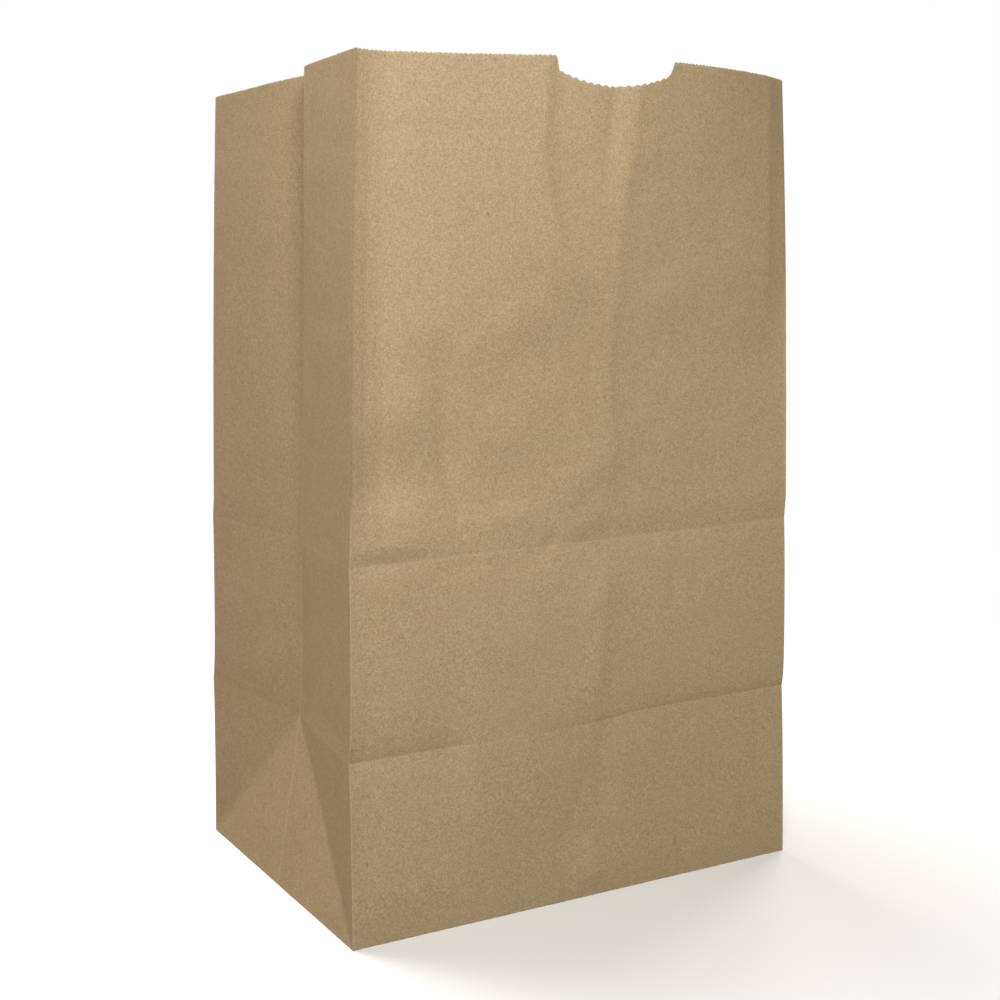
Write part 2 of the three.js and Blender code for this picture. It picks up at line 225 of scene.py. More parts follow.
# Places are along from the left edge and up from the base, and paths run upward or to the right
FRONT_CREASES = [
    # The upright bend under the notch, which curls to the left at its foot
    Crease(((113, 156), (116, 172), (116, 189), (112.5, 220), (113.5, 260), (114, 380)),
           1.9, (20, 8), taper=34),
    Crease(((86, 149), (100, 151.5), (110, 157), (116, 172)), 0.5, (5, 4), taper=12),
    # The bend's stronger top, a narrow valley beside it, and the upright line to its left
    Crease(((115, 270), (115.5, 380)), 1.2, (12, 10), taper=40),
    Crease(((106, 276), (105.5, 312), (105, 380)), -2.4, (4.5, 5), taper=34),
    Crease(((106, 238), (94, 254), (86.5, 264), (81.5, 281), (75.5, 302), (75, 380)),
           3.0, (12, 5.5), taper=28),
    # The wall turns in along both of its upright edges
    Crease(((7.5, 140), (7.5, 420)), -2.4, (5, 30), taper=40),
    Crease(((14, 140), (14, 420)), -3.0, (9, 110), taper=45),
    Crease(((6, 10), (6, 155)), -0.9, (5, 60), taper=30),
    Crease(((196, 215), (196, 420)), 2.4, (50, 11), taper=60),
    # The long valley in the left half
    Crease(((54, 132), (50, 151), (46, 164), (43, 180), (41, 202), (38, 240)),
           -2.9, (9, 26), taper=36),
    # The slanting ridge from the bend down to the press mark
    Crease(((84, 160), (102, 173), (117, 184)), 0.9, (9, 8), taper=16, rounded=True),
    # Faint level mark near the top
    Crease(((4, 309.5), (40, 311), (76, 311.5)), -0.3, (3, 3)),
    # Crumple in the press mark: a second line under its left part, and where the two meet
    Crease(((32, 142), (60, 141.6), (84, 141.2)), -0.6, (2.5, 4), taper=10),
    Crease(((79, 147), (84, 142), (88, 147), (94, 156)), -0.8, (2.5, 3), taper=5),
    Crease(((82, 98), (82, 148)), 0.6, (20, 7), taper=20),
    # Short marks below the press mark
    Crease(((110.5, 76), (113, 105), (118, 142)), 1.0, (9, 4.5), taper=14),
    Crease(((104, 112), (117, 134)), 0.6, (4, 3)),
    Crease(((150, 112), (150.5, 138)), -0.7, (3, 3)),
    Crease(((162, 112), (161, 139)), -0.6, (4, 3)),
    # Upright lines below the base crease
    Crease(((114, 30), (113.5, 58), (114, 76)), -1.1, (3.5, 8), taper=14),
    Crease(((90, 18), (101, 36), (110, 62)), -0.9, (5, 12), taper=14),
    Crease(((112, 4), (110, 14), (108, 28)), 1.0, (7, 3), taper=8),
    Crease(((195, 28), (195, 62)), -0.6, (4, 4)),
    # Crumple at the left end of the base crease
    Crease(((0, 75.5), (2, 72), (5, 68)), -0.8, (1.5, 1.5), taper=2),
]
FRONT_PATCHES = [
    Patch((16, 169), (15, 7), -0.15),
    Patch((69, 163.5), (13, 4), -0.2),
    Patch((16, 149), (16, 5), 0.3),
    Patch((77, 231), (12, 12), 0.1),
    Patch((32, 228), (12, 10), 0.06),
    Patch((24, 192), (18, 18), 0.12),
    Patch((49, 232), (6, 8), -0.09),
    Patch((69, 186), (11, 13), 0.1),
    Patch((137, 253), (10, 12), -0.08),
    Patch((124, 298), (6, 10), 0.1),
    Patch((106, 14), (9, 8), -0.12),
]


def lerp(start, end, share):
    return start + (end - start) * share


def smooth(value):
    """A smooth step from 0 to 1."""
    value = np.clip(value, 0, 1)
    return value * value * (3 - 2 * value)


def vector(x, y, z):
    return np.stack(np.broadcast_arrays(x, y, z), axis=-1)


def unit(vectors):
    return vectors / np.linalg.norm(vectors, axis=-1, keepdims=True)


# The bag's form, which is that of the frame


def crease_at(across):
    jog = np.tanh((across - CREASE_JOG_PLACE) / CREASE_JOG_REACH)
    return CREASE_HEIGHT + CREASE_SKEW * lerp(across, jog, CREASE_JOG_SHARE)


def press_at(across):
    return PRESS_HEIGHT + PRESS_SKEW * across


def opening_share(height, across):
    crease = crease_at(across)
    return np.clip((height - crease) / (HEIGHT - crease), 0, 1)


def bulge_share(height, across):
    press = press_at(across)
    return np.clip((height - press) / (HEIGHT - press), 0, 1)


def kink(height, across):
    """How far a height is set back by the base crease and the press mark."""
    above_crease = height - crease_at(across)
    strength = np.interp(across, *CREASE_STRENGTH)
    reach = np.where(above_crease > 0, np.interp(across, *CREASE_REACH), CREASE_FADE)
    crease = strength * np.exp(-np.abs(above_crease) / reach)
    above_press = height - press_at(across)
    strip = np.clip(1 - above_press / PRESS_STRIP, 0, 1)
    press = np.where(above_press > 0, strip, np.exp(above_press / PRESS_FADE))
    return CREASE_KINK * crease + PRESS_KINK * press


def front_bulge_shape(share):
    skew_power = math.log(0.5) / math.log(FRONT_BEND)
    rounded = np.sin(np.pi * share**skew_power)
    bent = np.where(share < FRONT_BEND, share / FRONT_BEND, (1 - share) / (1 - FRONT_BEND))
    return lerp(rounded, bent, BEND_SHARPNESS)


def back_bulge_shape(share):
    return np.sin(np.pi * share)


def front_half_shape(share):
    """Nearly straight up to a curl beside the side fold."""
    out = np.maximum(share / FRONT_HALF_PEAK, LEAST_SHARE) ** -CURL_SHARPNESS
    back = np.maximum((1 - share) / (1 - FRONT_HALF_PEAK), LEAST_SHARE) ** -CURL_SHARPNESS
    return (out + back) ** (-1 / CURL_SHARPNESS)


def back_half_shape(share):
    """A soft swell that dips beside the side fold."""
    from_fold = (1 - share) / BELLY_DIP_REACH
    dip = BELLY_DIP * from_fold * np.exp(1 - from_fold)
    return 1 - np.abs(2 * share - 1) ** BELLY_SQUARENESS - dip


def slope_factor(shape):
    """Mean square slope of a plan shape: how much of the paper's width a bulge takes up."""
    share = np.linspace(0, 1, SLOPE_SAMPLES)
    return np.mean(np.gradient(shape(share), share) ** 2)


BULGE_SHAPES = {FRONT: front_bulge_shape, BACK: back_bulge_shape}
BULGE_FACTORS = {wall: slope_factor(shape) for wall, shape in BULGE_SHAPES.items()}
BELLY_SHAPES = {FRONT: front_half_shape, BACK: back_half_shape}
BELLY_FACTORS = {wall: slope_factor(shape) for wall, shape in BELLY_SHAPES.items()}
FULL_BULGES = {FRONT: FRONT_BULGE, BACK: BACK_BULGE}
FULL_BELLIES = {FRONT: FRONT_HALF_BELLY, BACK: BACK_HALF_BELLY}


def chord(paper_width, depth, factor):
    return paper_width - depth**2 * factor / (2 * paper_width)


def bulge_depth(wall, height, across):
    return FULL_BULGES[wall] * bulge_share(height, across)


def belly_depth(wall, height, across):
    return FULL_BELLIES[wall] * opening_share(height, across) ** BELLY_GROWTH


def fold_in(height, side):
    share = np.minimum(height / crease_at(side), 1)
    return share * lerp(FOLD_IN_AT_CREASE, FOLD_IN_AT_RIM, opening_share(height, side))


def lean(height):
    return vector(LEAN_RIGHT * height / HEIGHT, LEAN_BACK * height / HEIGHT, 0)


def corner_point(side, wall, height):
    """One of the four corner edges of the bag."""
    crease = crease_at(side)
    half_width = chord(WIDTH, bulge_depth(wall, height, side), BULGE_FACTORS[wall]) / 2
    half_gusset = chord(DEPTH / 2, belly_depth(wall, height, side), BELLY_FACTORS[wall])
    inward = fold_in(np.maximum(height, crease), side)
    opened = np.sqrt(half_gusset**2 - inward**2)
    half_depth = lerp(DEPTH / 2, opened, np.minimum(height / crease, 1))
    return vector(side * half_width, wall * half_depth, height) + lean(height)


def fold_point(side, height):
    """The fold down the middle of a gusset."""
    front = corner_point(side, FRONT, height)
    back = corner_point(side, BACK, height)
    crease = crease_at(side)
    slant = crease - math.sqrt(crease**2 - FOLD_IN_AT_CREASE**2)
    settle = np.minimum(height / crease, 1) * slant * (1 - opening_share(height, side))
    x = (front[..., 0] + back[..., 0]) / 2 - side * fold_in(height, side)
    return vector(x, lean(height)[..., 1], height - settle)


def wall_point(wall, share, height):
    """A point of the front or back wall, by its share of the way from left to right."""
    across = 2 * share - 1
    left = corner_point(LEFT, wall, height)
    right = corner_point(RIGHT, wall, height)
    point = lerp(left, right, share[..., None])
    growth = lerp(BULGE_GROWTH_LEFT, BULGE_GROWTH_RIGHT, smooth(share))
    depth = FULL_BULGES[wall] * bulge_share(height, across) ** growth
    bulge = depth * BULGE_SHAPES[wall](share)
    point[..., 1] += wall * bulge + kink(height, across)
    return point


def gusset_point(side, wall, share, height):
    """A point of half a gusset, by its share of the way from the corner to the side fold."""
    crease = crease_at(side)
    upper = lerp(corner_point(side, wall, height), fold_point(side, height), share[..., None])
    upper[..., 0] += side * belly_depth(wall, height, side) * BELLY_SHAPES[wall](share)

    climb = height / crease
    foot = corner_point(side, wall, np.float64(0))
    to_apex = fold_point(side, crease) - foot
    to_middle = fold_point(side, np.float64(0)) - foot
    to_corner = corner_point(side, wall, crease) - foot
    on_base_triangle = (share >= climb)[..., None]
    along_apex = np.minimum(share, climb)[..., None]
    aside = np.abs(share - climb)[..., None]
    lower = foot + to_apex * along_apex + aside * np.where(on_base_triangle, to_middle, to_corner)

    point = np.where((climb >= 1)[..., None], upper, lower)
    point[..., 1] += kink(height, side)
    return point


# Creases and unevenness of the paper


def path_distance(along, up, path):
    """Distance from a path, how far along it from its nearer end, and if to the left of it."""
    nearest = np.full(np.broadcast(along, up).shape, np.inf)
    from_start = np.zeros_like(nearest)
    leftward = np.zeros_like(nearest, dtype=bool)
    travelled = 0.0
    for (a0, u0), (a1, u1) in zip(path, path[1:]):
        length = math.hypot(a1 - a0, u1 - u0)
        share = ((along - a0) * (a1 - a0) + (up - u0) * (u1 - u0)) / length**2
        share = np.clip(share, 0, 1)
        aside, above = along - lerp(a0, a1, share), up - lerp(u0, u1, share)
        distance = np.hypot(aside, above)
        closer = distance < nearest
        nearest = np.where(closer, distance, nearest)
        from_start = np.where(closer, travelled + share * length, from_start)
        leftward = np.where(closer, (a1 - a0) * above > (u1 - u0) * aside, leftward)
        travelled += length
    return nearest, np.minimum(from_start, travelled - from_start), leftward


def crease_relief(along, up, crease):
    distance, from_end, leftward = path_distance(along, up, crease.path)
    spread = distance / np.where(leftward, *crease.reach)
    profile = np.exp(-(spread ** (2 if crease.rounded else 1)))
    return crease.height * profile * smooth(from_end / crease.taper)


def patch_relief(along, up, patch):
    aside = (along - patch.centre[0]) / patch.size[0]
    above = (up - patch.centre[1]) / patch.size[1]
    return patch.slope * patch.size[1] * above * np.exp(-(aside**2) - above**2)


def ripples(loop, up, height, wavelength, seed, waves=14):
    """Smooth random unevenness of about one height and wavelength, which joins up round the bag."""
    random = np.random.default_rng(seed)
    total = np.zeros(np.broadcast(loop, up).shape)
    for heading, phase, stretch in zip(
        random.uniform(0, np.pi, waves),
        random.uniform(0, 2 * np.pi, waves),
        random.uniform(0.7, 1.4, waves),
    ):
        cycles = round(GIRTH * math.cos(heading) / (wavelength * stretch))
        rise = math.sin(heading) / (wavelength * stretch)
        total += np.sin(2 * np.pi * (cycles * loop / GIRTH + rise * up) + phase)
    return height * total / math.sqrt(waves)


def relief(panel, start, share, height):
    """How far the paper stands out of a panel's plain form."""
    along = share * panel.paper
    loop = start + along
    from_fold = np.minimum(along, panel.paper - along)
    free = 1 - np.exp(-from_fold / HELD_AT_FOLDS)
    swell = ripples(loop, height, *SWELL, SWELL_SEED)
    swell = swell + ripples(loop, height, *FINER_SWELL, FINER_SWELL_SEED)
    cockle = ripples(loop, height, *COCKLE, COCKLE_SEED)
    total = (swell * smooth(height / HELD_AT_FOOT) + cockle) * free
    if panel.wall == FRONT and not panel.side:
        handled = sum(crease_relief(along, height, crease) for crease in FRONT_CREASES)
        handled = handled + sum(patch_relief(along, height, patch) for patch in FRONT_PATCHES)
        total = total + handled * (1 - np.exp(-from_fold / CREASES_HELD_AT_FOLDS))
    return total


def outward_axis(panel):
    if panel.side:
        return np.array((panel.side, 0.0, 0.0))
    return np.array((0.0, panel.wall, 0.0))


def paper_point(panel, start, share, height):
    """A point of the sheet's outer face, with its creases."""
    if panel.side:
        from_its_corner = share if panel.from_corner else 1 - share
        plain = gusset_point(panel.side, panel.wall, from_its_corner, height)
    else:
        from_left = share if panel.wall == FRONT else 1 - share
        plain = wall_point(panel.wall, from_left, height)
    return plain + outward_axis(panel) * relief(panel, start, share, height)[..., None]


# The cut edge


def notch_drop(share):
    place = (share - 0.5) * WIDTH
    half = NOTCH_WIDTH / 2
    from_end = np.maximum(half - np.abs(place), 0)
    flank = NOTCH_FLANK_DEPTH * np.minimum(from_end / NOTCH_FLANK_RUN, 1)
    arc = (NOTCH_DEPTH - NOTCH_FLANK_DEPTH) * (1 - (place / half) ** 2)
    return np.where(from_end > 0, flank + arc, 0)


def rim_drop(panel, share):
    """How far the cut edge stands below the full height."""
    if not panel.side:
        return notch_drop(share) if panel.wall == FRONT else np.full_like(share, BACK_RIM_DROP)
    near = (share if panel.from_corner else 1 - share) / 2
    place = near if panel.wall == FRONT else 1 - near
    return BACK_RIM_DROP * smooth((place - RIM_DROP_START) / (RIM_DROP_END - RIM_DROP_START))


def tooth_profile(panel, seed):
    """Shares along a panel and depths below the cut line of the points of its saw teeth."""
    random = np.random.default_rng(seed)
    places, depths = [0.0], [TOOTH_DEPTH]
    while places[-1] < panel.paper:
        share = places[-1] / panel.paper
        plain_wall = panel.wall == FRONT and not panel.side
        in_notch = plain_wall and notch_drop(np.array(share)) > 0
        pitch = NOTCH_TOOTH_PITCH if in_notch else TOOTH_PITCH
        depth = NOTCH_TOOTH_DEPTH if in_notch else TOOTH_DEPTH
        is_root = len(places) % 2 == 0
        places.append(places[-1] + pitch / 2 * random.uniform(*TOOTH_PITCH_RANGE))
        if is_root:
            depths.append(depth * random.uniform(*TOOTH_DEPTH_RANGE))
        else:
            depths.append(TOOTH_TIP_UNEVENNESS * random.random())
    shares = np.array(places) / places[-1]
    return shares, np.array(depths)


# Stations of the mesh


def graded(length, finest, coarsest):
    """Shares of a length, closest together at both ends."""
    ramp = [0.0]
    step = finest
    while step < coarsest and ramp[-1] + step < length / 2:
        ramp.append(ramp[-1] + step)
        step *= SPREAD
    open_length = length - 2 * ramp[-1]
    inner = np.linspace(ramp[-1], length - ramp[-1], max(2, math.ceil(open_length / coarsest) + 1))
    places = np.concatenate([ramp[:-1], inner, length - np.array(ramp[:-1][::-1])])
    return places / length


GUSSET_STATIONS = graded(DEPTH / 2, FINEST, COARSEST_GUSSET)
FRONT_STATIONS = graded(WIDTH, FINEST, COARSEST_FRONT)


def seam_places():
    """Places of the glued lap on the back wall, on the way from right to left."""
    middle = WIDTH / 2 + SEAM_OFFSET
    start = middle - SEAM_OVERLAP / 2
    end = middle + SEAM_OVERLAP / 2
    return start - SEAM_RAMP, start, end, end + PAPER


def back_stations():
    before, start, end, after = seam_places()
    extra = np.array([
        before, lerp(before, start, 0.5), start, end - BESIDE_SEAM, end, after, after + BESIDE_SEAM,
    ])
    even = graded(WIDTH, FINEST, COARSEST_BACK) * WIDTH
    kept = even[np.min(np.abs(even[:, None] - extra[None, :]), axis=1) > LEAST_GAP]
    return np.sort(np.concatenate([kept, extra])) / WIDTH


def panel_stations(panel):
    if panel.side:
        return GUSSET_STATIONS
    return FRONT_STATIONS if panel.wall == FRONT else back_stations()


def lap_lift(panel, share):
    """How far the lap's outer face stands off the back wall."""
    if panel.side or panel.wall == FRONT:
        return np.zeros_like(share)
    before, start, end, after = seam_places()
    return PAPER * np.interp(share * WIDTH, [before, start, end, after], [0, 1, 1, 0])


def panel_across(panel, share):
    if panel.side:
        return np.full_like(share, panel.side)
    return 2 * share - 1 if panel.wall == FRONT else 1 - 2 * share


TO_PRESS = graded(PRESS_HEIGHT - CREASE_HEIGHT, FINEST_ROW, COARSEST_ROW)
TO_RIM = graded(HEIGHT - PRESS_HEIGHT, FINEST_ROW, COARSEST_ROW)


def row_heights(panel, share):
    """Heights of the rows of each column, from the base to just under the teeth."""
    across = panel_across(panel, share)
    crease, press = crease_at(across), press_at(across)
    top = HEIGHT - rim_drop(panel, share) - RIM_BAND
    return np.concatenate([
        GUSSET_STATIONS[:-1, None] * crease,
        lerp(crease, press, TO_PRESS[:-1, None]),
        lerp(press, top, TO_RIM[:, None]),
    ])


# The mesh


class MeshParts:
    """Vertices and faces that are gathered into one mesh, with a value of wear and painted
    highlight for each vertex.
    """

    def __init__(self):
        self.vertices = []
        self.wear_and_highlight = []
        self.faces = []
        self.count = 0

    def add_vertices(self, points, wear_and_highlight=0.0):
        """Adds an array of points and returns their indices, in the same arrangement."""
        points = np.asarray(points, float)
        flat = points.reshape(-1, 3)
        indices = np.arange(self.count, self.count + len(flat))
        self.vertices.append(flat)
        self.wear_and_highlight.append(np.broadcast_to(wear_and_highlight, points.shape[:-1]).reshape(-1))
        self.count += len(flat)
        return indices.reshape(points.shape[:-1])

    def add_faces(self, faces):
        self.faces.extend(np.asarray(faces).tolist())

    def add_slab(self, outline, low, high):
        """Adds a flat closed slab with an outline that runs anticlockwise from above."""
        below = self.add_vertices([(x, y, low) for x, y in outline])
        above = self.add_vertices([(x, y, high) for x, y in outline])
        self.faces.append(below[::-1].tolist())
        self.faces.append(above.tolist())
        self.add_faces(np.stack([
            below, np.roll(below, -1), np.roll(above, -1), above,
        ], axis=-1))

    def to_object(self, name):
        mesh = bpy.data.meshes.new(name)
        vertices = np.concatenate(self.vertices) * MM
        mesh.from_pydata(vertices.tolist(), [], self.faces)
        attribute = mesh.attributes.new("wear_and_highlight", "FLOAT", "POINT")
        attribute.data.foreach_set("value", np.concatenate(self.wear_and_highlight).astype(np.float32))
        mesh.shade_smooth()
        mesh.set_sharp_from_angle(angle=SHARP_ANGLE)
        made = bpy.data.objects.new(name, mesh)
        bpy.context.scene.collection.objects.link(made)
        return made


@dataclass
class PanelGrid:
    """A panel's stations, the heights of its rows, its points and the directions out of it."""

    panel: Panel
    start: float
    shares: np.ndarray
    heights: np.ndarray
    points: np.ndarray
    normals: np.ndarray


def make_grid(panel, start):
    shares = panel_stations(panel)
    heights = row_heights(panel, shares)
    points = paper_point(panel, start, np.broadcast_to(shares, heights.shape), heights)
    along = np.gradient(points, axis=1)
    up = np.gradient(points, axis=0)
    return PanelGrid(panel, start, shares, heights, points, unit(np.cross(along, up)))


def join_normals(grids):
    """Gives neighbouring panels one shared direction on the edge between them, and rounds it."""
    for before, after in zip(grids, grids[1:] + grids[:1]):
        own = after.normals[:, 0].copy()
        mitre = unit(before.normals[:, -1] + own)
        stretch = 1 / np.maximum(np.sum(mitre * own, axis=-1, keepdims=True), SHARPEST_MITRE)
        for grid, column in ((before, -1), (after, 0)):
            places = np.abs(grid.shares - grid.shares[column]) * grid.panel.paper
            near = np.clip(1 - places / FOLD_RADIUS, 0, 1) ** 2
            turn = np.clip(stretch - 1, 0, 1)[:, None]
            grid.points -= FOLD_ROUNDING * turn * near[None, :, None] * mitre[:, None]
            grid.normals[:, column] = mitre * stretch


def wear_and_highlight_of(grid):
    """How worn a panel is, with a painted highlight on its folds and lines: most on them, falling
    to 0 a little way off.
    """
    along = grid.shares * grid.panel.paper
    from_fold = np.minimum(along, grid.panel.paper - along)[None, :]
    across = panel_across(grid.panel, grid.shares)
    from_crease = np.abs(grid.heights - crease_at(across))
    from_press = np.abs(grid.heights - press_at(across))
    worn_and_highlit = 0.0
    for wear_and_highlight, distance in (
        (FOLD_WEAR_AND_HIGHLIGHT, from_fold), (CREASE_WEAR_AND_HIGHLIGHT, from_crease), (PRESS_WEAR_AND_HIGHLIGHT, from_press),
    ):
        worn_and_highlit = worn_and_highlit + wear_and_highlight * np.exp(-((distance / WEAR_AND_HIGHLIGHT_REACH) ** 2))
    return np.clip(worn_and_highlit, 0, 1)


def add_rim(parts, grid, outer_row, inner_row, seed):
    """Fans the last row of a panel out to its saw-toothed cut edge."""
    panel = grid.panel
    tooth_shares, tooth_depths = tooth_profile(panel, seed)
    shares = np.union1d(np.round(grid.shares, 9), np.round(tooth_shares, 9))
    drops = rim_drop(panel, shares) + np.interp(shares, tooth_shares, tooth_depths)
    points = paper_point(panel, grid.start, shares, HEIGHT - drops)
    top_normals = grid.normals[-1]
    normals = np.stack([np.interp(shares, grid.shares, top_normals[:, i]) for i in range(3)], -1)
    lift = lap_lift(panel, shares)[:, None]
    outer = parts.add_vertices(points + lift * normals, RIM_WEAR)
    inner = parts.add_vertices(points - PAPER * normals, RIM_WEAR)
    columns = np.searchsorted(shares, np.round(grid.shares, 9))
    for i, (first, last) in enumerate(zip(columns, columns[1:])):
        middle = (first + last + 1) // 2
        for row, edge, turn in ((outer_row, outer, 1), (inner_row, inner, -1)):
            left, right = row[i], row[i + 1]
            fans = [(left, right, edge[middle])]
            fans += [(left, edge[k + 1], edge[k]) for k in range(first, middle)]
            fans += [(right, edge[k + 1], edge[k]) for k in range(middle, last)]
            parts.faces.extend([int(v) for v in fan[::turn]] for fan in fans)
    parts.add_faces(np.stack([outer[:-1], outer[1:], inner[1:], inner[:-1]], axis=-1))


def add_cells(parts, outer, inner, triangles_to=0, climbs=True):
    """Adds the faces of a panel's grid. Rows below triangles_to are split along the crease."""
    for rows, turn in ((outer, 1), (inner, -1)):
        a, b = rows[:-1, :-1], rows[:-1, 1:]
        d, c = rows[1:, :-1], rows[1:, 1:]
        whole = np.stack([a, b, c, d], axis=-1)[triangles_to:].reshape(-1, 4)
        parts.add_faces(whole[:, ::turn])
        halves = ((a, b, c), (a, c, d)) if climbs else ((a, b, d), (b, c, d))
        for half in halves:
            split = np.stack(half, axis=-1)[:triangles_to].reshape(-1, 3)
            parts.add_faces(split[:, ::turn])


def toothed(start, end, seed):
    """Points of a saw-toothed line from one place in plan to another, without its end."""
    random = np.random.default_rng(seed)
    start, end = np.array(start, float), np.array(end, float)
    length = np.linalg.norm(end - start)
    heading = (end - start) / length
    aside = np.array((heading[1], -heading[0]))
    count = 2 * round(length / TOOTH_PITCH)
    points = []
    for i in range(count):
        root_depth = TOOTH_DEPTH * random.uniform(*FLAP_TOOTH_DEPTH_RANGE) * (i % 2)
        points.append(tuple(start + heading * length * i / count - aside * root_depth))
    return points


def flap_outline(wall):
    """A base flap in plan: full width at its fold, narrowing at 45 degrees past the middle."""
    foot = wall * (DEPTH / 2 - PAPER)
    reach = DEPTH / 2 + FLAP_OVERLAP / 2
    end = wall * (DEPTH / 2 - reach)
    wide = WIDTH / 2 - PAPER
    narrow = WIDTH / 2 - reach
    free_edge = toothed((wall * -narrow, end), (wall * narrow, end), FLAP_EDGE_SEED)
    corners = [(wall * narrow, end), (wall * wide, foot), (wall * -wide, foot)]
    return (free_edge + corners)[::-1]


def end_fold_outline(side):
    """The paper of a gusset where it lies on the floor of the bag, up to its cut edge."""
    wide = WIDTH / 2 - PAPER
    deep = DEPTH / 2 - PAPER
    free = WIDTH / 2 - DEPTH / 2 - FLAP_OVERLAP / 2
    edge = toothed((side * free, side * deep), (side * free, -side * deep), END_FOLD_EDGE_SEED)
    corners = [(side * free, -side * deep), (side * wide, -side * deep), (side * wide, side * deep)]
    return edge + corners


def make_bag():
    parts = MeshParts()
    grids = [make_grid(panel, start) for panel, start in zip(PANELS, STARTS)]
    join_normals(grids)
    crease_row = len(GUSSET_STATIONS) - 1
    outer_feet, inner_feet = [], []
    for rim_seed, grid in enumerate(grids, FIRST_RIM_SEED):
        lift = lap_lift(grid.panel, grid.shares)[None, :, None]
        outer_points = grid.points + lift * grid.normals
        inner_points = grid.points - PAPER * grid.normals
        outer_points[0, :, 2] = UNDERSIDE
        inner_points[0, :, 2] = FLOOR_LEVEL
        # Wear, and on the folds and lines a painted highlight
        wear_and_highlight = wear_and_highlight_of(grid)
        outer = parts.add_vertices(outer_points, wear_and_highlight)
        inner = parts.add_vertices(inner_points, wear_and_highlight)
        split_rows = crease_row if grid.panel.side else 0
        add_cells(parts, outer, inner, split_rows, grid.panel.from_corner)
        add_rim(parts, grid, outer[-1], inner[-1], rim_seed)
        outer_feet.append(outer[0])
        inner_feet.append(inner[0])
    underside = parts.add_vertices([(0, 0, UNDERSIDE)])[0]
    floor = parts.add_vertices([(0, 0, FLOOR_LEVEL)])[0]
    for foot in outer_feet:
        parts.add_faces([(right, left, underside) for left, right in zip(foot, foot[1:])])
    for foot in inner_feet:
        parts.add_faces([(left, right, floor) for left, right in zip(foot, foot[1:])])
    parts.add_slab(flap_outline(BACK), PAPER, INSIDE_FLOOR_PAPER)
    parts.add_slab(flap_outline(FRONT), 0, INSIDE_FLOOR_PAPER)
    for side in (LEFT, RIGHT):
        parts.add_slab(end_fold_outline(side), INSIDE_FLOOR_PAPER, END_FOLD_LEVEL)
    return parts


# Materials


def linear(red, green, blue):
    """A colour for a shader from the 0 to 255 levels that a picture shows."""
    levels = np.array((red, green, blue)) / 255
    values = np.where(levels <= 0.04045, levels / 12.92, ((levels + 0.055) / 1.055) ** 2.4)
    return (*values.tolist(), 1.0)


KRAFT = linear(183, 158, 123)
# The paler colour of worn paper, which on the folds and lines is also a painted highlight
WORN_AND_HIGHLIT_KRAFT = linear(206, 185, 154)
SPECK = linear(104, 82, 58)
PALE_FIBRE = linear(214, 196, 166)

# Each noise of the paper: its scale, its detail and its roughness
CLOUDS = (45, 3, 0.6)
MOTTLE = (420, 3, 0.6)
GRAIN = (1500, 2, 0.6)
FIBRES = (2400, 2, 0.5)
PALE_FIBRES = (1500, 1, 0.4)
SPECKS = (900, 1, 0.5)
FIBRE_STRETCH = 0.3

# The part of a noise's range that is used, and what each turns it into
NOISE_RANGE = (0.3, 0.7)
CLOUD_TONES = (0.98, 1.02)
MOTTLE_TONES = (0.95, 1.05)
GRAIN_TONES = (0.8, 1.2)
FIBRE_TONES = (0.95, 1.05)
GRAIN_WEAR_AND_HIGHLIGHT = (0.35, 0.8)
GRAIN_ROUGHNESS = (0.82, 0.94)
PALE_FIBRE_RANGE, PALE_FIBRE_SHOWS = (0.68, 0.78), (0, 0.2)
SPECK_RANGE, SPECK_SHOWS = (0.73, 0.78), (0, 0.55)
FIBRE_RELIEF = 0.8
SHINE = 0.25

# How much more the green and the blue of the paper vary than its red
GREEN_POWER = 1.1
BLUE_POWER = 1.35
BUMP_STRENGTH = 0.5
BUMP_DISTANCE = 0.06 * MM


class Nodes:
    """Short ways to add and join shader nodes."""

    def __init__(self, material):
        material.use_nodes = True
        self.tree = material.node_tree
        self.tree.nodes.clear()

    def add(self, kind, inputs=None, **settings):
        node = self.tree.nodes.new(kind)
        for name, value in settings.items():
            setattr(node, name, value)
        for name, value in (inputs or {}).items():
            self.join(value, node.inputs[name])
        return node

    def join(self, value, socket):
        if isinstance(value, bpy.types.NodeSocket):
            self.tree.links.new(value, socket)
        else:
            socket.default_value = value

    def noise(self, coordinates, scale, detail, roughness):
        inputs = {"Vector": coordinates, "Scale": scale, "Detail": detail, "Roughness": roughness}
        return self.add("ShaderNodeTexNoise", inputs).outputs["Fac"]

    def stretched(self, coordinates, x, y, z):
        node = self.add("ShaderNodeMapping", {"Vector": coordinates, "Scale": (x, y, z)})
        return node.outputs["Vector"]

    def remap(self, value, low, high, to_low=0.0, to_high=1.0):
        inputs = {
            "Value": value, "From Min": low, "From Max": high, "To Min": to_low, "To Max": to_high,
        }
        return self.add("ShaderNodeMapRange", inputs).outputs["Result"]

    def maths(self, operation, first, second):
        node = self.add("ShaderNodeMath", operation=operation)
        self.join(first, node.inputs[0])
        self.join(second, node.inputs[1])
        return node.outputs["Value"]

    def mix(self, factor, first, second, blend="MIX"):
        node = self.add("ShaderNodeMix", data_type="RGBA", blend_type=blend)
        self.join(factor, node.inputs["Factor"])
        self.join(first, node.inputs[6])
        self.join(second, node.inputs[7])
        return node.outputs[2]

    def finish(self, shader):
        self.add("ShaderNodeOutputMaterial", {"Surface": shader})


